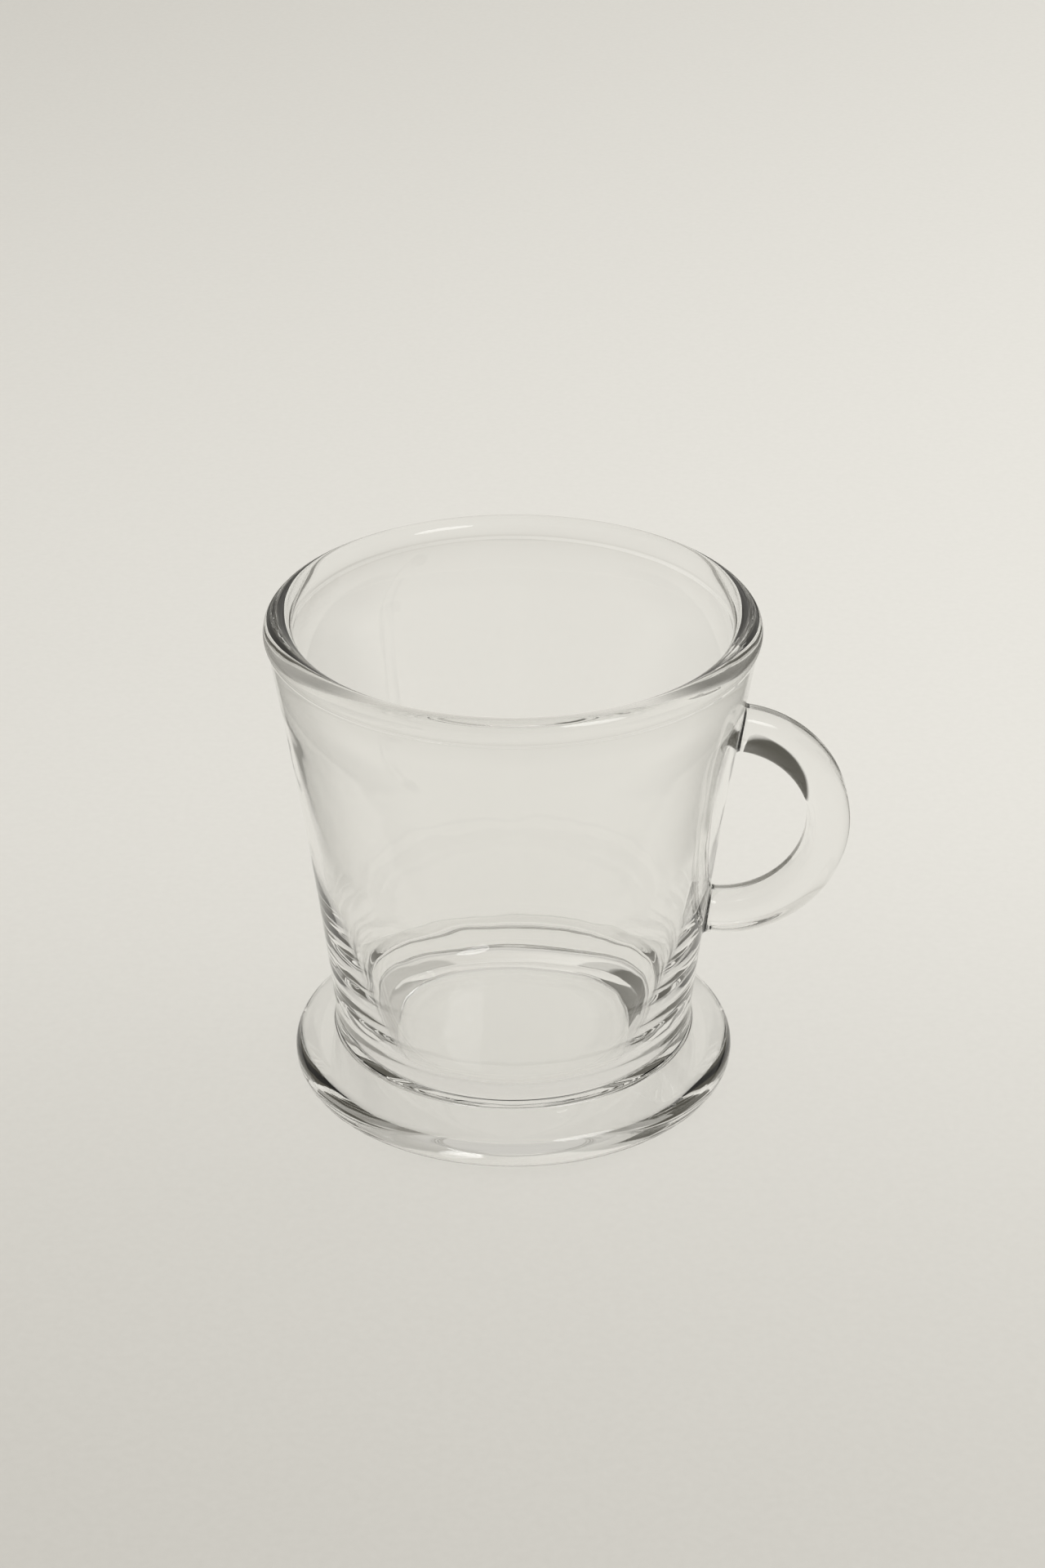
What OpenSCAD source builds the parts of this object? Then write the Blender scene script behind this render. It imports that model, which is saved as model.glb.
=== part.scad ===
// Footed glass cup with a ring handle, standing on the table at Z = 0.
// The cup's axis is Z and the handle points along +X.

/* [Bowl] */
// Height of the cup from the table to the top of the lip
cup_h = 83; // [70:0.5:95]
// Outside diameter over the lip
rim_d = 80; // [74:0.5:90]
// Outside diameter of the straight collar that stands in the foot
collar_d = 60; // [56:0.5:64]
// Height of the top of the collar above the table
collar_top = 12; // [10.5:0.5:18]
// Inward bow of the outer wall between the collar and the lip
wall_bow = 0.55; // [0:0.05:1.5]
// Thickness of the wall over most of its height
wall_t = 1.8; // [1.4:0.1:3]
// Thickness of the wall level with the top of the collar
wall_low = 4.2; // [3.2:0.1:5]
// Height below which the wall thickens towards the floor
thick_from = 40; // [30:1:45]
// Height of the rounded corner between the floor and the inner wall
corner_h = 8.4; // [5:0.1:9]
// Thickness of the bowl's floor above the foot
floor_t = 1.4; // [1.2:0.1:4]

/* [Lip] */
// Thickness of the rounded lip
lip_t = 4.8; // [3.6:0.1:6]
// How far the lip stands out from the wall below it
lip_bead = 0.3; // [0:0.05:1]
// Distance below the top over which the wall swells to the lip
lip_swell = 15; // [11:0.5:26]

/* [Foot] */
// Outside diameter of the foot
foot_d = 73.7; // [70:0.1:84]
// Height of the foot where it meets the collar
foot_h = 8.3; // [7:0.1:10]
// Radius of the foot's rounded edge
foot_edge_r = 3.1; // [2:0.1:3.4]
// Width of the flat ring that stands on the table
stand_w = 2.2; // [1:0.1:4]
// Depth of the shallow hollow under the foot
hollow_h = 2; // [1:0.1:3]
// Diameter of the hollow's flat middle
hollow_flat_d = 43; // [30:0.5:52]
// Thickness of the foot between the hollow and the bowl
web_t = 1.2; // [1:0.1:3]

/* [Handle] */
// Distance of the middle of the handle's ring from the cup's axis
handle_x = 34.7; // [32:0.1:40]
// Height of the middle of the handle's ring
handle_z = 45.4; // [40:0.1:50]
// Radius of the ring's centre line
handle_r = 17.1; // [15:0.1:20]
// Thickness of the handle between finger gap and outside
handle_t = 7; // [5:0.1:9]
// Width of the handle across the cup
handle_w = 7.7; // [6:0.1:10]
// Radius of the handle's rounded corners
handle_corner = 2.6; // [1:0.1:2.9]

/* [Hidden] */
$fn = 180;
glass = [0.85, 0.86, 0.83, 0.5];
wall_steps = 16;
neck_steps = 8;

// Lip circle
lip_r = lip_t / 2;
lip_x = rim_d / 2 - lip_r;
lip_z = cup_h - lip_r;

// Outer wall: straight collar, then a flare up to the lip
collar_r = collar_d / 2;
flare_h = lip_z - collar_top;
flare_w = rim_d / 2 - lip_bead - collar_r;
function flare_u(z) = (z - collar_top) / flare_h;
function outer_r(z) = collar_r + flare_w * flare_u(z) - 4 * wall_bow * flare_u(z) * (1 - flare_u(z));
outer_wall = [
    for (i = [0 : wall_steps])
        let (z = collar_top + flare_h * i / wall_steps)
            [outer_r(z), z]
];

// Inner wall: thin above, thickening towards the floor
function low_share(z) = max(0, (thick_from - z) / (thick_from - collar_top));
function inner_r(z) = outer_r(z) - wall_t - (wall_low - wall_t) * pow(low_share(z), 2);
function flare_lean(z) = (flare_w - 4 * wall_bow * (1 - 2 * flare_u(z))) / flare_h;
function low_lean(z) = 2 * (wall_low - wall_t) * low_share(z) / (thick_from - collar_top);
function inner_lean(z) = atan(flare_lean(z) + low_lean(z));

// Rounded corner between the floor and the inner wall
seat_z = hollow_h + web_t;
floor_z = seat_z + floor_t;
corner_top = floor_z + corner_h;
corner_lean = inner_lean(corner_top);
corner_r = corner_h / (1 - sin(corner_lean));
corner_x = inner_r(corner_top) - corner_r * cos(corner_lean);
corner_z = floor_z + corner_r;

// Hollow curve from the inner wall to the lip, tangent to both
neck_z = cup_h - lip_swell;
neck_lean = inner_lean(neck_z);
neck_start = [inner_r(neck_z), neck_z];
neck_in = [-cos(neck_lean), sin(neck_lean)];
neck_run = neck_start - [lip_x, lip_z];
neck_r = (neck_run * neck_run - lip_r * lip_r) / (2 * (lip_r - neck_run * neck_in));
neck_centre = neck_start + neck_r * neck_in;
neck_turn = atan2(lip_z - neck_centre.y, lip_x - neck_centre.x);
function neck_point(u) =
    let (turn = -neck_lean + (neck_turn + neck_lean) * u)
        neck_centre + neck_r * [cos(turn), sin(turn)];
inner_wall = [
    for (i = [0 : wall_steps - 1])
        let (z = corner_top + (neck_z - corner_top) * i / wall_steps)
            [inner_r(z), z]
];
neck_wall = [for (i = [0 : neck_steps]) neck_point(i / neck_steps)];

// Foot: a sloping top, tangent to the rounded edge
edge_x = foot_d / 2 - foot_edge_r;
foot_run = [edge_x - collar_r, foot_h - foot_edge_r];
foot_slope = atan2(foot_run.y, foot_run.x) - asin(foot_edge_r / norm(foot_run));
edge_start = [
    edge_x + foot_edge_r * sin(foot_slope),
    foot_edge_r + foot_edge_r * cos(foot_slope)
];
hollow_r = edge_x - stand_w;

// Handle section: rounded corners that leave a narrow flat on each side
least_flat = 0.2;
section_r = min(handle_corner, (min(handle_t, handle_w) - least_flat) / 2);

module outer_profile() {
    polygon(concat([[0, seat_z], [collar_r, seat_z]], outer_wall, [[0, lip_z]]));
}

module lip_profile() {
    translate([lip_x, lip_z]) circle(lip_r);
}

module inside_profile() {
    polygon(concat(
        [[0, floor_z], [corner_x, floor_z], [corner_x, corner_z]],
        inner_wall,
        neck_wall,
        [[neck_point(1).x, cup_h], [0, cup_h]]
    ));
    translate([corner_x, corner_z]) circle(corner_r);
}

module foot_profile() {
    polygon([
        [0, 0], [edge_x, 0], [edge_x, foot_edge_r], edge_start,
        [collar_r, foot_h], [0, foot_h]
    ]);
    translate([edge_x, foot_edge_r]) circle(foot_edge_r);
}

module hollow_profile() {
    polygon([
        [0, -1], [hollow_r, -1], [hollow_r, 0],
        [hollow_flat_d / 2, hollow_h], [0, hollow_h]
    ]);
}

module handle_profile() {
    flat_t = handle_t - 2 * section_r;
    flat_w = handle_w - 2 * section_r;
    square([handle_t, flat_w], center = true);
    square([flat_t, handle_w], center = true);
    for (x = [-1, 1], y = [-1, 1])
        translate([x * flat_t / 2, y * flat_w / 2]) circle(section_r);
}

// Flared bowl with a rounded lip
module bowl() {
    color(glass)
        rotate_extrude() {
            difference() {
                outer_profile();
                inside_profile();
            }
            lip_profile();
        }
}

// Round foot with a seat for the bowl and a hollow underside
module foot() {
    color(glass)
        rotate_extrude()
            difference() {
                foot_profile();
                hollow_profile();
                outer_profile();
            }
}

// Ring handle, cut to the curve of the outer wall where it joins the bowl
module handle() {
    color(glass)
        difference() {
            translate([handle_x, 0, handle_z])
                rotate([90, 0, 0])
                    rotate_extrude()
                        translate([handle_r, 0]) handle_profile();
            rotate_extrude() outer_profile();
        }
}

bowl();
foot();
handle();
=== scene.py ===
import bpy, bmesh
from math import asin, atan2, cos, degrees, hypot, pi, radians, sin, sqrt, tan
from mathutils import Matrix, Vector


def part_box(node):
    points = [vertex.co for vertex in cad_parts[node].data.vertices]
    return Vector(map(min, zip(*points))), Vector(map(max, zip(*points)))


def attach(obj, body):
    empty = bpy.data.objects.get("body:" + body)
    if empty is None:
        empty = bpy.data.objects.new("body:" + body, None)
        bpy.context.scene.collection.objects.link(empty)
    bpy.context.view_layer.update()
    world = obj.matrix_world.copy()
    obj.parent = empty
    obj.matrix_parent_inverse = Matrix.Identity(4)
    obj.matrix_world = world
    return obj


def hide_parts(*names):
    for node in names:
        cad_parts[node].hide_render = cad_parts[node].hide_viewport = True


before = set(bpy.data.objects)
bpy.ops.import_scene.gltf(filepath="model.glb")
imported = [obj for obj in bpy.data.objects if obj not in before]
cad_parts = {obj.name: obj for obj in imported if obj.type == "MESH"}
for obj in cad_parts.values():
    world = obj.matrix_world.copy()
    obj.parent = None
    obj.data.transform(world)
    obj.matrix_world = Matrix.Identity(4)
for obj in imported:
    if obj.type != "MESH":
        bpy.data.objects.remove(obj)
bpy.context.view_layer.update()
scene = bpy.context.scene
mm = 0.001

# sizes that the frame gives, in mm
bowlLow, bowlHigh = [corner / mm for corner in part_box("bowl")]
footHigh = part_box("foot")[1] / mm
cupHeight = bowlHigh.z
rimRadius = bowlHigh.x
seatZ = bowlLow.z
footRadius = footHigh.x
footTop = footHigh.z
print("frame loaded, cup", round(rimRadius * 2, 1), "mm wide,", round(cupHeight, 1), "mm tall")


def spread(start, end, count):
    return [start + (end - start) * i / count for i in range(count + 1)]


def linePoints(start, end, count):
    return list(zip(spread(start[0], end[0], count), spread(start[1], end[1], count)))


def arcPoints(cx, cz, radius, first, last, count):
    turns = [radians(a) for a in spread(first, last, count)]
    return [(cx + radius * cos(t), cz + radius * sin(t)) for t in turns]


def ringVerts(bm, radius, z, segments):
    if radius < 1e-6:
        return [bm.verts.new((0, 0, z * mm))]
    turns = [2 * pi * i / segments for i in range(segments)]
    return [bm.verts.new((radius * cos(t) * mm, radius * sin(t) * mm, z * mm)) for t in turns]


def bridgeRings(bm, low, high, slot=0, skip=()):
    count = max(len(low), len(high))
    for i in range(count):
        j = (i + 1) % count
        if i in skip:
            continue
        corners = [low[i % len(low)], low[j % len(low)], high[j % len(high)], high[i % len(high)]]
        unique = list(dict.fromkeys(corners))
        face = bm.faces.new(unique)
        face.material_index = slot
        face.smooth = True


def meshPiece(name, bm, materials):
    bmesh.ops.recalc_face_normals(bm, faces=bm.faces)
    mesh = bpy.data.meshes.new(name)
    bm.to_mesh(mesh)
    bm.free()
    for material in materials:
        mesh.materials.append(material)
    piece = bpy.data.objects.new(name, mesh)
    scene.collection.objects.link(piece)
    return piece


def newMaterial(name):
    material = bpy.data.materials.new(name)
    material.use_nodes = True
    return material, material.node_tree.nodes, material.node_tree.links


# glass
glassLook = {
    "tint": (0.993, 0.993, 0.989, 1),
    "tintDeep": (0.986, 0.987, 0.981, 1),
    "tintScale": 24.0,
    "shadowTint": (0.86, 0.86, 0.85, 1),      # a lamp's light past each face of the glass
    "ior": 1.52,
    "waveDetail": 1.0,
    "smudgeDetail": 5.0,
    "smudgeTwist": 0.6,
    "smudgeFrom": 0.52,     # only the strongest spots of the noise are smudged
    "smudgeFull": 0.78,
}
glassBowlLook = {"waveScale": 110.0, "waveDepth": 0.06, "smudgeScale": 38.0, "smudgeRough": 0.03}
glassFootLook = {"waveScale": 110.0, "waveDepth": 0.05, "smudgeScale": 55.0, "smudgeRough": 0.02}
glassHandleLook = {"waveScale": 130.0, "waveDepth": 0.05, "smudgeScale": 70.0, "smudgeRough": 0.04}


def makePressedGlass():
    group = bpy.data.node_groups.new("pressedGlass", "ShaderNodeTree")
    for name, kind in (("Wave Scale", "Float"), ("Smudge Scale", "Float"), ("Smudge Rough", "Float"),
                       ("Tint", "Color"), ("Tint Deep", "Color")):
        group.interface.new_socket(name, in_out="INPUT", socket_type="NodeSocket" + kind)
    for name, kind in (("Wave", "Float"), ("Roughness", "Float"), ("Color", "Color")):
        group.interface.new_socket(name, in_out="OUTPUT", socket_type="NodeSocket" + kind)
    nodes, links = group.nodes, group.links
    given, taken = nodes.new("NodeGroupInput"), nodes.new("NodeGroupOutput")
    place = nodes.new("ShaderNodeTexCoord")
    wave, smudge, batch = [nodes.new("ShaderNodeTexNoise") for part in range(3)]
    wave.inputs["Detail"].default_value = glassLook["waveDetail"]
    smudge.inputs["Detail"].default_value = glassLook["smudgeDetail"]
    smudge.inputs["Distortion"].default_value = glassLook["smudgeTwist"]
    batch.inputs["Scale"].default_value = glassLook["tintScale"]
    for noise in (wave, smudge, batch):
        links.new(place.outputs["Object"], noise.inputs["Vector"])
    links.new(given.outputs["Wave Scale"], wave.inputs["Scale"])
    links.new(given.outputs["Smudge Scale"], smudge.inputs["Scale"])
    touch = nodes.new("ShaderNodeMapRange")
    touch.inputs["From Min"].default_value = glassLook["smudgeFrom"]
    touch.inputs["From Max"].default_value = glassLook["smudgeFull"]
    links.new(smudge.outputs["Fac"], touch.inputs["Value"])
    links.new(given.outputs["Smudge Rough"], touch.inputs["To Max"])
    tint = nodes.new("ShaderNodeMix")
    tint.data_type = "RGBA"
    links.new(batch.outputs["Fac"], tint.inputs["Factor"])
    links.new(given.outputs["Tint"], tint.inputs["A"])
    links.new(given.outputs["Tint Deep"], tint.inputs["B"])
    links.new(wave.outputs["Fac"], taken.inputs["Wave"])
    links.new(touch.outputs["Result"], taken.inputs["Roughness"])
    links.new(tint.outputs["Result"], taken.inputs["Color"])
    return group


pressedGlass = makePressedGlass()


def makeGlass(name, look):
    material, nodes, links = newMaterial(name)
    glass = nodes["Principled BSDF"]
    glass.inputs["IOR"].default_value = glassLook["ior"]
    glass.inputs["Transmission Weight"].default_value = 1.0
    surface = nodes.new("ShaderNodeGroup")
    surface.node_tree = pressedGlass
    surface.inputs["Wave Scale"].default_value = look["waveScale"]
    surface.inputs["Smudge Scale"].default_value = look["smudgeScale"]
    surface.inputs["Smudge Rough"].default_value = look["smudgeRough"]
    surface.inputs["Tint"].default_value = glassLook["tint"]
    surface.inputs["Tint Deep"].default_value = glassLook["tintDeep"]
    bump = nodes.new("ShaderNodeBump")      # faint waves left by the press
    bump.inputs["Strength"].default_value = look["waveDepth"]
    bump.inputs["Distance"].default_value = mm
    links.new(surface.outputs["Wave"], bump.inputs["Height"])
    links.new(bump.outputs["Normal"], glass.inputs["Normal"])
    links.new(surface.outputs["Roughness"], glass.inputs["Roughness"])
    links.new(surface.outputs["Color"], glass.inputs["Base Color"])
    clear = nodes.new("ShaderNodeBsdfTransparent")
    clear.inputs["Color"].default_value = glassLook["shadowTint"]
    path = nodes.new("ShaderNodeLightPath")
    mix = nodes.new("ShaderNodeMixShader")
    links.new(path.outputs["Is Shadow Ray"], mix.inputs[0])   # lamps light the table through the glass
    links.new(glass.outputs[0], mix.inputs[1])
    links.new(clear.outputs[0], mix.inputs[2])
    links.new(mix.outputs[0], nodes["Material Output"].inputs["Surface"])
    return material


def makeWeld():
    material, nodes, links = newMaterial("fusedJoint")
    nodes["Principled BSDF"].inputs["Alpha"].default_value = 0.0   # glass runs on through a fused joint
    return material


glassBowl = makeGlass("glassBowl", glassBowlLook)
glassFoot = makeGlass("glassFoot", glassFootLook)
glassHandle = makeGlass("glassHandle", glassHandleLook)
fusedJoint = makeWeld()
jointSlot = 1      # second material of each piece
print("glass ready")

# bowl wall, in mm
bowlShape = {
    "collarRadius": 30.0,
    "collarTop": 12.0,      # where the wall starts to flare
    "wallBow": 0.55,        # inward bow of the flare
    "wallThin": 1.8,        # wall thickness over most of its height
    "wallLow": 4.2,         # wall thickness beside the collar's top
    "thickFrom": 40.0,      # the wall thickens below this height
    "cornerHigh": 8.4,      # height of the floor's round corner
    "lipSwell": 15.0,       # the wall swells to the lip over this height
    "floorRise": 1.4,       # floor above the seat
    "lipThick": 4.8,
    "lipBead": 0.3,         # lip proud of the wall
    "beadSoft": 0.12,       # softness of the crease under the lip
    "rootWindow": 7.0,      # half height of the window in the wall round an end of the handle
    "segments": 384,
    "collarRows": 8,        # rows of points up the outside, from the foot to the lip
    "lowRows": 8,
    "gapRows": 16,          # between the ends of the handle
    "highRows": 6,
    "beadRows": 24,
    "lipPoints": 48,        # points down the inside, from the lip to the floor
    "neckPoints": 24,
    "insidePoints": 40,
    "cornerPoints": 24,
    "floorPoints": 8,
}

lipR = bowlShape["lipThick"] / 2
lipX = rimRadius - lipR
lipZ = cupHeight - lipR
collarR = bowlShape["collarRadius"]
collarTop = bowlShape["collarTop"]
wallTopR = rimRadius - bowlShape["lipBead"]
seatPoints, collarPoints = 6, 5      # points across and up the joint of bowl and foot


def flareRadius(z):
    u = max(0.0, (z - collarTop) / (lipZ - collarTop))
    return collarR + (wallTopR - collarR) * u - 4 * bowlShape["wallBow"] * u * (1 - u)


def wallRadius(z):
    flare = flareRadius(z)
    if z < lipZ - lipR:
        return flare
    bead = lipX + sqrt(max(0.0, lipR ** 2 - (z - lipZ) ** 2))
    gap = flare - bead
    return (flare + bead + sqrt(gap * gap + bowlShape["beadSoft"] ** 2)) / 2   # soft crease


# handle outline, in mm: a runs out from the ring's middle, b across the cup
handleShape = {
    "ringX": 34.7,
    "ringZ": 45.4,
    "ringRadius": 17.1,
    "thick": 7.0,
    "wide": 7.7,
    "corner": 2.6,
    "rootFillet": 0.8,
    "stations": 72,         # rings of points along the handle
    "filletRings": 6,
    "wallTurns": (50, 140),      # degrees round the ring, between which an end meets the wall
    "wallSteps": 40,
}
ringX, ringZ, ringR = handleShape["ringX"], handleShape["ringZ"], handleShape["ringRadius"]
patchHalfTurn, patchRows = 13, 10        # window in the wall's grid round each end of the handle
sectionCount = 4 * patchHalfTurn + 2 * patchRows


def sectionOutline():
    halfA, halfB, corner = handleShape["thick"] / 2, handleShape["wide"] / 2, handleShape["corner"]
    flatA, flatB = halfA - corner, halfB - corner
    quarter = corner * pi / 2
    # flats and quarter rounds in turn, from the middle of the +b side
    runs = [flatA, quarter, 2 * flatB, quarter, 2 * flatA, quarter, 2 * flatB, quarter, flatA]
    length = sum(runs)
    points = []
    for i in range(sectionCount):
        s = length * i / sectionCount
        k = 0
        while s > runs[k]:
            s -= runs[k]
            k += 1
        if k in (0, 8):
            a, b, na, nb = (s if k == 0 else s - flatA), halfB, 0, 1
        elif k == 2:
            a, b, na, nb = halfA, flatB - s, 1, 0
        elif k == 4:
            a, b, na, nb = flatA - s, -halfB, 0, -1
        elif k == 6:
            a, b, na, nb = -halfA, s - flatB, -1, 0
        else:
            turn = [90, 0, -90, -180][k // 2] - degrees(s / corner)
            signA, signB = [(1, 1), (1, -1), (-1, -1), (-1, 1)][k // 2]
            na, nb = cos(radians(turn)), sin(radians(turn))
            a, b = signA * flatA + corner * na, signB * flatB + corner * nb
        points.append((a, b, na, nb))
    return points


def ringPoint(a, b, turn):
    return Vector((ringX + (ringR + a) * cos(turn), b, ringZ + (ringR + a) * sin(turn)))


def outsideWall(point):
    return hypot(point.x, point.y) - wallRadius(point.z)


def wallTurn(a, b, upper):      # where a line along the handle meets the wall
    near, far = [radians(turn) for turn in handleShape["wallTurns"]]
    for step in range(handleShape["wallSteps"]):
        middle = (near + far) / 2
        if outsideWall(ringPoint(a, b, middle if upper else -middle)) > 0:
            near = middle
        else:
            far = middle
    return near if upper else -near


rootFillet = handleShape["rootFillet"]
outline = sectionOutline()


def filletReach(d):
    if d >= rootFillet:
        return 0.0
    return rootFillet - sqrt(rootFillet ** 2 - (rootFillet - d) ** 2)


def handleRings():
    filletRings = handleShape["filletRings"]
    filletSteps = [rootFillet * (1 - cos(pi / 2 * k / filletRings)) for k in range(filletRings)]
    rings = []
    ends = []
    for a, b, na, nb in outline:
        plain = [wallTurn(a, b, upper) for upper in (False, True)]
        flared = [wallTurn(a + rootFillet * na, b + rootFillet * nb, upper) for upper in (False, True)]
        ends.append((plain, flared))
    steps = [("low", d) for d in filletSteps]
    steps += [("mid", k / handleShape["stations"]) for k in range(1, handleShape["stations"])]
    steps += [("high", d) for d in reversed(filletSteps)]
    for kind, value in steps:
        ring = []
        for (a, b, na, nb), (plain, flared) in zip(outline, ends):
            margin = rootFillet / (ringR + a)
            if kind == "mid":
                turn = plain[0] + margin + (plain[1] - plain[0] - 2 * margin) * value
                ring.append(ringPoint(a, b, turn))
                continue
            end, sign = (0, 1) if kind == "low" else (1, -1)
            share = max(0.0, 1 - value / rootFillet)
            turn = plain[end] + (flared[end] - plain[end]) * share + sign * value / (ringR + a)
            reach = filletReach(value)
            ring.append(ringPoint(a + reach * na, b + reach * nb, turn))
        rings.append(ring)
    return rings


handlePath = handleRings()
rootLow, rootHigh = handlePath[0], handlePath[-1]
print("handle laid out,", len(handlePath), "rings of", sectionCount)


# bowl
def onWall(angle, z):
    r = wallRadius(z)
    return Vector((r * cos(angle), r * sin(angle), z))


def capRings(bm, edge, centre):
    layers = 4
    rings = [edge]
    for k in range(1, layers):
        share = k / layers
        ring = []
        for vert in edge:
            point = vert.co / mm
            angle = atan2(point.y, point.x) * (1 - share)
            z = point.z + (centre - point.z) * share
            ring.append(bm.verts.new(onWall(angle, z) * mm))
        rings.append(ring)
    rings.append([bm.verts.new(onWall(0, centre) * mm)])
    for low, high in zip(rings, rings[1:]):
        bridgeRings(bm, low, high, jointSlot)


def rootWindow(root):
    zs = [p.z for p in root]
    centre = (min(zs) + max(zs)) / 2
    return centre - bowlShape["rootWindow"], centre, centre + bowlShape["rootWindow"]


def wallRows():
    shape = bowlShape
    low, high = rootWindow(rootLow), rootWindow(rootHigh)
    rows = spread(footTop + footShape["collarFillet"], collarTop, shape["collarRows"])
    rows += spread(collarTop, low[0], shape["lowRows"])[1:]
    lowStart = len(rows) - 1
    rows += spread(low[0], low[2], patchRows)[1:]
    rows += spread(low[2], high[0], shape["gapRows"])[1:]
    highStart = len(rows) - 1
    rows += spread(high[0], high[2], patchRows)[1:]
    rows += spread(high[2], lipZ - lipR, shape["highRows"])[1:]
    rows += spread(lipZ - lipR, lipZ, shape["beadRows"])[1:]
    return rows, lowStart, highStart


def innerRadius(z):
    low = max(0.0, (bowlShape["thickFrom"] - z) / (bowlShape["thickFrom"] - collarTop))
    thin = bowlShape["wallThin"]
    return flareRadius(z) - thin - (bowlShape["wallLow"] - thin) * low * low


def innerSlope(z):
    step = 0.01
    return atan2(innerRadius(z + step) - innerRadius(z - step), 2 * step)


def innerProfile():
    shape = bowlShape
    floorZ = seatZ + shape["floorRise"]
    cornerZ, neckZ = floorZ + shape["cornerHigh"], cupHeight - shape["lipSwell"]
    slope = innerSlope(cornerZ)
    fillet = (cornerZ - floorZ) / (1 - sin(slope))
    cornerX = innerRadius(cornerZ) - fillet * cos(slope)
    lean = innerSlope(neckZ)
    runX, runZ = innerRadius(neckZ) - lipX, neckZ - lipZ
    hollow = (runX ** 2 + runZ ** 2 - lipR ** 2) / (2 * (lipR + runX * cos(lean) - runZ * sin(lean)))
    hollowX = innerRadius(neckZ) - hollow * cos(lean)
    hollowZ = neckZ + hollow * sin(lean)
    meet = degrees(atan2(hollowZ - lipZ, hollowX - lipX)) % 360
    bead = arcPoints(lipX, lipZ, lipR, 0, meet, shape["lipPoints"])[1:]
    neck = arcPoints(hollowX, hollowZ, hollow, meet - 180, -degrees(lean), shape["neckPoints"])[1:]
    wall = [(innerRadius(z), z) for z in spread(neckZ, cornerZ, shape["insidePoints"])[1:]]
    corner = arcPoints(cornerX, floorZ + fillet, fillet, -degrees(slope), -90, shape["cornerPoints"])[1:]
    floor = [(x, floorZ) for x in spread(cornerX, 0, shape["floorPoints"])[1:]]
    print("inside laid out, floor corner", round(fillet, 2), "mm, neck", round(hollow, 1), "mm")
    return bead + neck + wall + corner + floor


def patchLoop(rings, start, low):
    half = patchHalfTurn
    window = [rings[start + r] for r in range(patchRows + 1)]
    side = patchRows // 2
    right = [window[r][half] for r in range(patchRows + 1)]
    left = [window[r][-half] for r in range(patchRows + 1)]
    top = [window[patchRows][i] for i in range(half - 1, -half, -1)]
    bottom = [window[0][i] for i in range(-half + 1, half)]
    loop = right[side:] + top + left[::-1] + bottom + right[:side]
    if low:      # the outline runs the other way up at the lower end
        loop = [loop[0]] + loop[:0:-1]
    return loop


def buildBowl():
    bm = bmesh.new()
    count = bowlShape["segments"]
    rows, lowStart, highStart = wallRows()
    base = [(r, seatZ) for r in spread(0, collarR, seatPoints)]
    base += [(collarR, z) for z in spread(seatZ, rows[0], collarPoints)[1:-1]]
    outer = [(wallRadius(z), z) for z in rows]
    inner = innerProfile()
    baseRings = [ringVerts(bm, r, z, count) for r, z in base]
    outerRings = [ringVerts(bm, r, z, count) for r, z in outer]
    innerRings = [ringVerts(bm, r, z, count) for r, z in inner]
    for low, high in zip(baseRings, baseRings[1:] + outerRings[:1]):
        bridgeRings(bm, low, high, jointSlot)
    window = set(range(patchHalfTurn)) | set(range(count - patchHalfTurn, count))
    for i, (low, high) in enumerate(zip(outerRings, outerRings[1:])):
        inside = lowStart <= i < lowStart + patchRows or highStart <= i < highStart + patchRows
        bridgeRings(bm, low, high, skip=window if inside else ())
    skin = outerRings[-1:] + innerRings
    for low, high in zip(skin, skin[1:]):
        bridgeRings(bm, low, high)
    layers = 5
    for root, start, isLow in ((rootLow, lowStart, True), (rootHigh, highStart, False)):
        loop = patchLoop(outerRings, start, isLow)
        centre = rootWindow(root)[1]
        rings = [loop]
        for k in range(1, layers):
            share = k / layers
            ring = []
            for vert, point in zip(loop, root):
                outerPoint = vert.co / mm
                angle = atan2(outerPoint.y, outerPoint.x) * (1 - share) + atan2(point.y, point.x) * share
                z = outerPoint.z * (1 - share) + point.z * share
                ring.append(bm.verts.new(onWall(angle, z) * mm))
            rings.append(ring)
        edge = [bm.verts.new(point * mm) for point in root]
        rings.append(edge)
        for low, high in zip(rings, rings[1:]):
            bridgeRings(bm, low, high)
        capRings(bm, edge, centre)
        inside = [r for ring in outerRings[start + 1:start + patchRows] for r in ring]
        loose = [vert for vert in inside if not vert.link_faces]
        bmesh.ops.delete(bm, geom=loose, context="VERTS")
    return meshPiece("bowl_glass", bm, [glassBowl, fusedJoint])


# foot, in mm
footShape = {
    "edgeRadius": 3.1,
    "standWidth": 2.2,
    "hollowDeep": 2.0,
    "hollowFlat": 21.5,     # flat part of the hollow underside
    "hollowBend": 8.0,      # rounding at the flat's edge
    "collarFillet": 0.8,    # small fillet up the collar
    "segments": 256,
    "hollowPoints": 10,     # points from the middle of the underside round to the collar
    "bendPoints": 12,
    "edgePoints": 40,
    "topPoints": 10,
    "filletPoints": 10,
}


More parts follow.
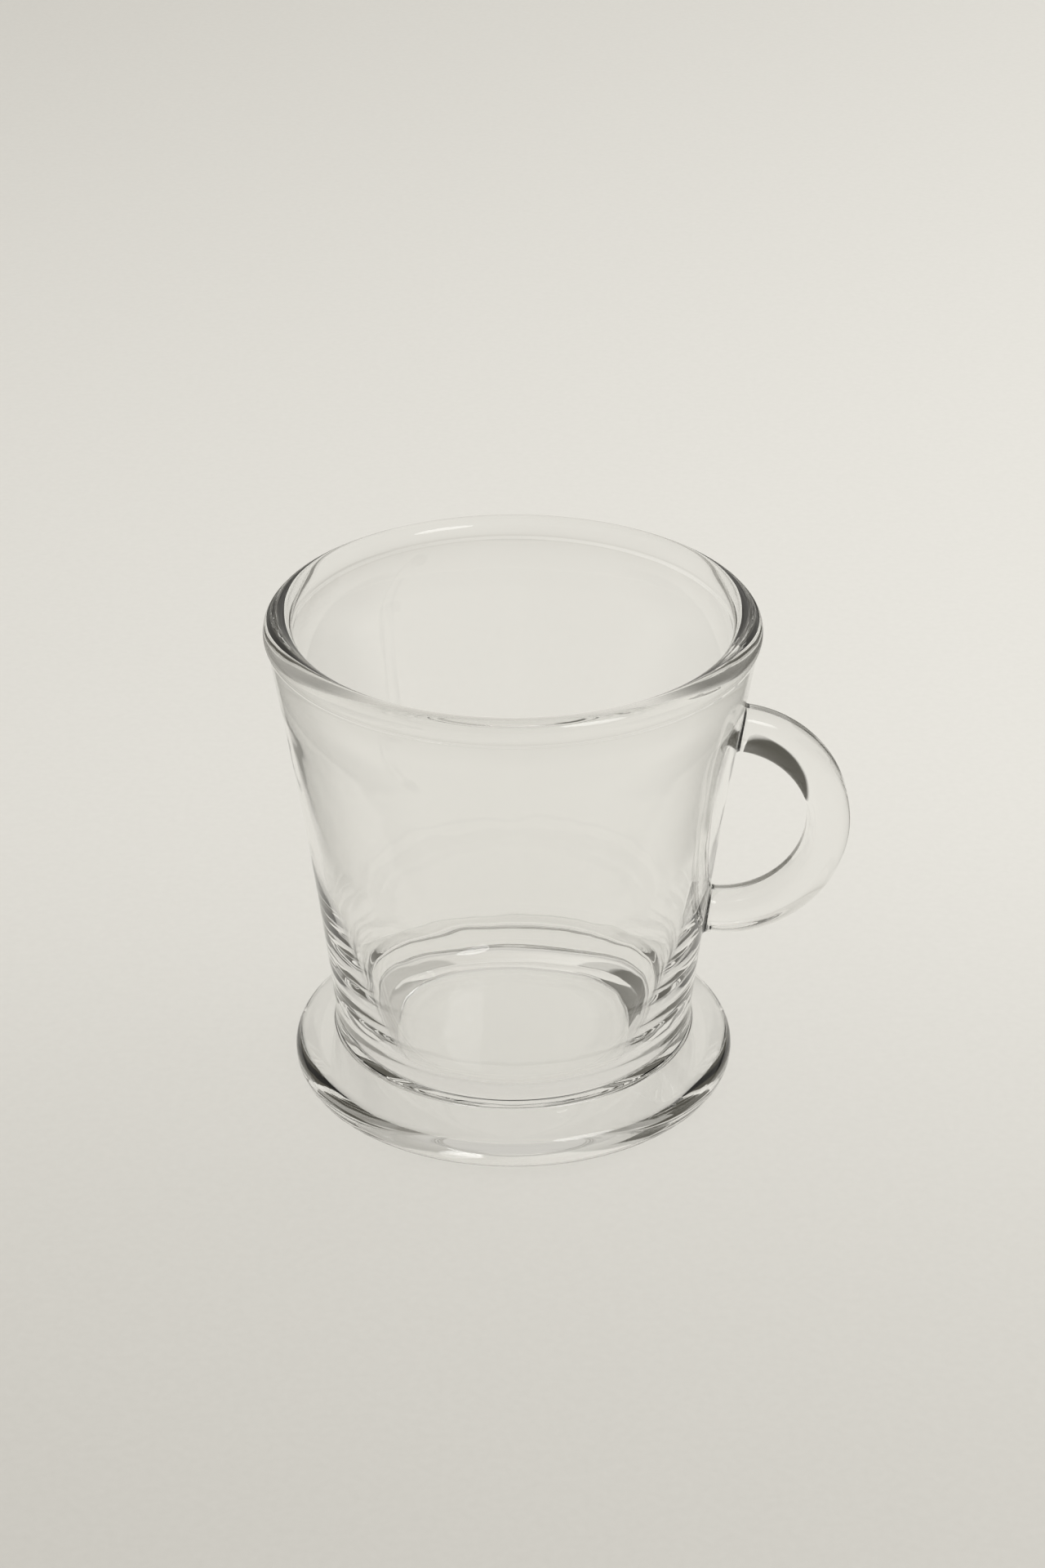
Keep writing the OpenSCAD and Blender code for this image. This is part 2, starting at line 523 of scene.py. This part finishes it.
def buildFoot():
    bm = bmesh.new()
    shape = footShape
    count = shape["segments"]
    edge, fillet = shape["edgeRadius"], shape["collarFillet"]
    edgeX = footRadius - edge
    hollowR, hollowDeep = edgeX - shape["standWidth"], shape["hollowDeep"]
    bend, flatR = shape["hollowBend"], shape["hollowFlat"]
    fall = atan2(hollowDeep, hollowR - flatR)
    bendX = flatR - bend * tan(fall / 2)
    hollow = [(r, hollowDeep) for r in spread(0, bendX, shape["hollowPoints"])]
    hollow += arcPoints(bendX, hollowDeep - bend, bend, 90, 90 - degrees(fall), shape["bendPoints"])[1:]
    hollow += linePoints(hollow[-1], (hollowR, 0), shape["hollowPoints"])[1:]
    runX, runZ = edgeX - collarR, footTop - edge
    slope = atan2(runZ, runX) - asin(edge / hypot(runX, runZ))
    rim = arcPoints(edgeX, edge, edge, -90, 90 - degrees(slope), shape["edgePoints"])
    lineX, lineZ = rim[-1]
    centreX = collarR + fillet
    centreZ = lineZ + (lineX - centreX) * tan(slope) + fillet / cos(slope)
    blend = arcPoints(centreX, centreZ, fillet, -90 - degrees(slope), -180, shape["filletPoints"])
    top = linePoints(rim[-1], blend[0], shape["topPoints"])[1:-1]
    skin = hollow + rim + top + blend
    seat = [(collarR, z) for z in spread(blend[-1][1], seatZ, collarPoints)[1:]]
    seat += [(r, seatZ) for r in spread(collarR, 0, seatPoints)[1:]]
    skinRings = [ringVerts(bm, r, z, count) for r, z in skin]
    seatRings = [ringVerts(bm, r, z, count) for r, z in seat]
    for low, high in zip(skinRings, skinRings[1:]):
        bridgeRings(bm, low, high)
    joint = skinRings[-1:] + seatRings
    for low, high in zip(joint, joint[1:]):
        bridgeRings(bm, low, high, jointSlot)
    return meshPiece("foot_glass", bm, [glassFoot, fusedJoint])


def buildHandle():
    bm = bmesh.new()
    rings = [[bm.verts.new(point * mm) for point in ring] for ring in handlePath]
    for low, high in zip(rings, rings[1:]):
        bridgeRings(bm, low, high)
    capRings(bm, rings[0], rootWindow(rootLow)[1])
    capRings(bm, rings[-1], rootWindow(rootHigh)[1])
    return meshPiece("handle_glass", bm, [glassHandle, fusedJoint])


bowl = buildBowl()
foot = buildFoot()
handle = buildHandle()
for piece, node in ((bowl, "bowl"), (foot, "foot"), (handle, "handle")):
    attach(piece, "root")
    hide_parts(node)
print("pieces built:", [(p.name, len(p.data.polygons)) for p in (bowl, foot, handle)])

# table and backdrop, one round sweep
tableLook = {
    "color": (0.80, 0.785, 0.755, 1),
    "roughness": 0.9,
    "specular": 0.1,
    "glowDim": (0.532, 0.513, 0.465, 1),
    "glowBright": (0.881, 0.863, 0.806, 1),
    "glowShare": 0.86,      # the rest is lit by the lamps and takes the shadow
    "paintedLightFalloff": (           # painted light falloff, brighter to the right and round the cup, dimmer behind it: axis, from and to in m, what it adds to the glow
        ("X", -0.167, 0.5, 0.667),
        ("Y", -0.2, 0.12, 0.567),
        ("Y", 0.14, 0.8, -0.333),
        ("Y", 0.75, 1.3, 0.333),
    ),
    "grainScale": 700.0,
    "grain": 0.06,
    "drop": 0.25,           # mm below the foot, so that the glass never shares a face with it
    "floorRings": (0, 60, 150, 300, 600, 900),      # mm
    "floorRadius": 1200,
    "coveRadius": 500,
    "covePoints": 16,
    "wallTop": 2200,
    "segments": 96,
}


def makeTable():
    material, nodes, links = newMaterial("paleTable")
    paper = nodes["Principled BSDF"]
    paper.inputs["Base Color"].default_value = tableLook["color"]
    paper.inputs["Roughness"].default_value = tableLook["roughness"]
    paper.inputs["Specular IOR Level"].default_value = tableLook["specular"]
    glow = nodes.new("ShaderNodeEmission")
    place = nodes.new("ShaderNodeTexCoord")
    split = nodes.new("ShaderNodeSeparateXYZ")
    grain = nodes.new("ShaderNodeTexNoise")
    grain.inputs["Scale"].default_value = tableLook["grainScale"]
    links.new(place.outputs["Object"], split.inputs[0])
    links.new(place.outputs["Object"], grain.inputs["Vector"])
    # painted light falloff: each slide brightens or dims the glow along one axis
    parts = []
    for axis, start, end, rise in tableLook["paintedLightFalloff"]:
        slide = nodes.new("ShaderNodeMapRange")
        slide.interpolation_type = "LINEAR" if axis == "X" else "SMOOTHSTEP"
        slide.inputs["From Min"].default_value = start
        slide.inputs["From Max"].default_value = end
        slide.inputs["To Max"].default_value = rise
        links.new(split.outputs[axis], slide.inputs["Value"])
        parts.append(slide.outputs["Result"])
    speck = nodes.new("ShaderNodeMapRange")      # fine grain of the paper
    speck.inputs["To Min"].default_value = -tableLook["grain"]
    speck.inputs["To Max"].default_value = tableLook["grain"]
    links.new(grain.outputs["Fac"], speck.inputs["Value"])
    level = speck.outputs["Result"]
    for part in parts:
        total = nodes.new("ShaderNodeMath")
        links.new(level, total.inputs[0])
        links.new(part, total.inputs[1])
        level = total.outputs[0]
    paint = nodes.new("ShaderNodeMix")
    paint.data_type = "RGBA"
    paint.inputs["A"].default_value = tableLook["glowDim"]
    paint.inputs["B"].default_value = tableLook["glowBright"]
    links.new(level, paint.inputs["Factor"])
    links.new(paint.outputs["Result"], glow.inputs["Color"])
    path = nodes.new("ShaderNodeLightPath")
    seen = path.outputs["Is Camera Ray"]
    for kind in ("Is Glossy Ray", "Is Transmission Ray"):
        either = nodes.new("ShaderNodeMath")
        either.operation = "MAXIMUM"
        links.new(seen, either.inputs[0])
        links.new(path.outputs[kind], either.inputs[1])
        seen = either.outputs[0]
    share = nodes.new("ShaderNodeMath")
    share.operation = "MULTIPLY"
    share.inputs[1].default_value = tableLook["glowShare"]
    links.new(seen, share.inputs[0])
    mix = nodes.new("ShaderNodeMixShader")
    links.new(share.outputs[0], mix.inputs[0])
    links.new(paper.outputs[0], mix.inputs[1])
    links.new(glow.outputs[0], mix.inputs[2])
    links.new(mix.outputs[0], nodes["Material Output"].inputs["Surface"])
    return material


def buildTable():
    material = makeTable()
    drop, floorRadius, cove = -tableLook["drop"], tableLook["floorRadius"], tableLook["coveRadius"]
    profile = [(r, drop) for r in tableLook["floorRings"]]
    profile += arcPoints(floorRadius, drop + cove, cove, -90, 0, tableLook["covePoints"])
    profile += [(floorRadius + cove, tableLook["wallTop"])]
    bm = bmesh.new()
    rings = [ringVerts(bm, r, z, tableLook["segments"]) for r, z in profile]
    for low, high in zip(rings, rings[1:]):
        bridgeRings(bm, low, high)
    table = meshPiece("table_sweep", bm, [material])


buildTable()
print("table built")

# dark flag round the cup that paints dark reflections on the edges of the glass, with a bright lane behind
# the cup
flagLook = {
    "color": (0.06, 0.056, 0.043, 1),
    "eyeHigh": 0.05,        # angles are taken from the middle of the cup
    "lift": 0.001,          # the low part lies just above the table
    "radius": 0.8,          # upright part of the flag
    "laneLeft": 0.070,      # half width of the lane beside the cup, and how it widens going back
    "laneLeftGrow": 0.08,
    "laneRight": 0.078,
    "laneRightGrow": 0.08,
    "laneSoft": 0.008,
    "sideEnd": 75,          # degrees, the low dark part fades out from here to the side
    "sideEndHigh": 50,      # sooner where it rises from narrowFrom to narrowFull
    "sideSoft": 45,
    "narrowFrom": -15,
    "narrowFull": -5,
    "lowFrom": -36,         # degrees, on the table
    "leftShade": 0.7,
    "lowEnd": -4,
    "lowGone": 8,
    "lowShade": 0.85,
    "highFull": 4,          # faint upper part
    "highEnd": 45,
    "highGone": 60,
    "highShade": 0.32,
    "lowRows": 40,
    "highRows": 24,
    "segments": 360,
}


def ease(value, low, high):
    share = min(1.0, max(0.0, (value - low) / (high - low)))
    return share * share * (3 - 2 * share)


def flagShade(point, rise):
    look = flagLook
    hand = "laneLeft" if point.x < 0 else "laneRight"
    lane = look[hand] + look[hand + "Grow"] * max(0.0, point.y)
    side = ease(abs(point.x), lane, lane + look["laneSoft"])
    away = abs(degrees(atan2(point.x, point.y)))
    narrow = ease(rise, look["narrowFrom"], look["narrowFull"])
    sideEnd = look["sideEnd"] + (look["sideEndHigh"] - look["sideEnd"]) * narrow
    fade = 1 - ease(away, sideEnd, sideEnd + look["sideSoft"])
    low = side * fade * (1 - ease(rise, look["lowEnd"], look["lowGone"]))
    if point.x < 0:
        low *= look["leftShade"]
    high = ease(rise, look["lowEnd"], look["highFull"]) * (1 - ease(rise, look["highEnd"], look["highGone"]))
    front = side if point.y > 0 else 1.0
    return max(low * look["lowShade"], front * high * look["highShade"])


def makeDark(name, depth):
    material, nodes, links = newMaterial(name)
    # painted shade: a dark glow that only the glass shows, as dark reflections on its edges and the dark
    # crescent on the handle
    dark = nodes.new("ShaderNodeEmission")
    dark.inputs["Color"].default_value = flagLook["color"]
    clear = nodes.new("ShaderNodeBsdfTransparent")
    shade = nodes.new("ShaderNodeAttribute")
    shade.attribute_name = "shade"
    path = nodes.new("ShaderNodeLightPath")
    amount = nodes.new("ShaderNodeMath")
    amount.operation = "MULTIPLY"
    amount.use_clamp = True
    links.new(path.outputs[depth], amount.inputs[0])
    links.new(shade.outputs["Fac"], amount.inputs[1])
    mix = nodes.new("ShaderNodeMixShader")
    links.new(amount.outputs[0], mix.inputs[0])
    links.new(clear.outputs[0], mix.inputs[1])
    links.new(dark.outputs[0], mix.inputs[2])
    links.new(mix.outputs[0], nodes["Material Output"].inputs["Surface"])
    return material


def stageForGlass(name, bm, shades, material):
    piece = meshPiece(name, bm, [material])
    piece.data.attributes.new("shade", "FLOAT", "POINT").data.foreach_set("value", shades)
    piece.visible_camera = False      # only the glass sees it
    piece.visible_shadow = False
    piece.visible_diffuse = False


def buildFlag():
    eye, radius, lift = flagLook["eyeHigh"], flagLook["radius"], flagLook["lift"]
    bendRise = degrees(atan2(lift - eye, radius))      # the flag lies flat below this angle
    rises = spread(flagLook["lowFrom"], bendRise, flagLook["lowRows"])
    rises += spread(bendRise, flagLook["highGone"], flagLook["highRows"])[1:]
    turns = [radians(t) for t in spread(-180, 180, flagLook["segments"])[:-1]]
    bm = bmesh.new()
    rings, shades = [], []
    for rise in rises:
        slope = tan(radians(rise))
        r, z = (radius, eye + radius * slope) if rise >= bendRise else ((lift - eye) / slope, lift)
        points = [Vector((r * sin(t), r * cos(t), z)) for t in turns]
        rings.append([bm.verts.new(point) for point in points])
        shades += [flagShade(point, rise) for point in points]
    for low, high in zip(rings, rings[1:]):
        bridgeRings(bm, low, high)
    material = makeDark("paintedReflectionFlag", "Glossy Depth")      # painted dark reflections: only light that the glass has reflected meets it, so the view straight through the glass stays clear
    stageForGlass("painted_reflection_flag", bm, shades, material)


buildFlag()
print("flag set")

# dark card that paints the dark crescent of shade on the handle: only light past the clear sheet or a fused
# joint meets it
cardLook = {
    "x": (0.050, 0.22),
    "y": 0.12,
    "z": (0.004, 0.13),
    "soft": 0.008,          # width of the soft edge
    "shade": 1.0,
    "cells": 48,
}
sheetLook = {
    "x": (0.0385, 0.058),
    "y": 0.0075,            # close behind the handle
    "z": (0.044, 0.0645),
    "soft": 0.001,
    "shade": 0.0,           # clear all over
    "cells": 48,
}


def buildPlate(name, look, material):
    cells, soft = look["cells"], look["soft"]
    bm = bmesh.new()
    rows, shades = [], []
    for z in spread(*look["z"], cells):
        rows.append([bm.verts.new((x, look["y"], z)) for x in spread(*look["x"], cells)])
        for x in spread(*look["x"], cells):
            inset = min(x - look["x"][0], look["x"][1] - x, z - look["z"][0], look["z"][1] - z)
            shades.append(look["shade"] * ease(inset, 0, soft))
    for low, high in zip(rows, rows[1:]):
        for i in range(cells):
            bm.faces.new((low[i], low[i + 1], high[i + 1], high[i]))
    stageForGlass(name, bm, shades, material)


# painted shade: the card's dark glow makes the handle's dark crescent
buildPlate("painted_crescent_card", cardLook, makeDark("paintedCrescentCard", "Transparent Depth"))
buildPlate("clear_sheet", sheetLook, makeDark("clearSheet", "Transparent Depth"))
print("card and sheet set")

# soft studio light
lampSet = {      # place, aim, width and power
    "key": ((0.9, 0.4, 1.5), (0.0, 0.0, 0.05), 0.9, 8.0),
    "fill": ((0.75, -0.63, 1.5), (0.0, 0.0, 0.05), 0.7, 5.0),
}
worldColor = (0.61, 0.595, 0.555, 1)


def buildLight():
    for name, (place, target, size, power) in lampSet.items():
        light = bpy.data.lights.new(name, "AREA")
        light.shape = "DISK"
        light.size = size
        light.energy = power
        lamp = bpy.data.objects.new(name, light)
        lamp.location = place
        lamp.rotation_euler = (Vector(target) - Vector(place)).to_track_quat("-Z", "Y").to_euler()
        lamp.visible_transmission = False
        lamp.visible_glossy = name == "fill"      # only the fill leaves small highlights on the glass
        scene.collection.objects.link(lamp)
    world = bpy.data.worlds.new("studio")
    world.use_nodes = True
    world.node_tree.nodes["Background"].inputs["Color"].default_value = worldColor
    scene.world = world


buildLight()
print("lights set")

# camera at the photograph's angle
cameraSet = {
    "lens": 85,             # mm
    "sensor": 36,
    "distance": 0.60585,    # m
    "elevation": 28.224,    # degrees
    "aimHeight": 0.05183,
    "aside": 0.00152,
}


def buildCamera():
    data = bpy.data.cameras.new("photoView")
    data.sensor_fit = "VERTICAL"
    data.sensor_height = cameraSet["sensor"]
    data.lens = cameraSet["lens"]
    tilt = radians(cameraSet["elevation"])
    camera = bpy.data.objects.new("photoView", data)
    away, rise = cameraSet["distance"] * cos(tilt), cameraSet["distance"] * sin(tilt)
    camera.location = (cameraSet["aside"], -away, cameraSet["aimHeight"] + rise)
    camera.rotation_euler = (pi / 2 - tilt, 0, 0)
    scene.collection.objects.link(camera)
    scene.camera = camera


buildCamera()
print("camera set")

bounces, clearBounces = 14, 32      # light that is caught in the lip's and the foot's ends goes dark
scene.view_settings.view_transform = "Standard"
scene.cycles.max_bounces = bounces
scene.cycles.transmission_bounces = bounces
scene.cycles.glossy_bounces = bounces
scene.cycles.transparent_max_bounces = clearBounces
scene.cycles.use_denoising = True
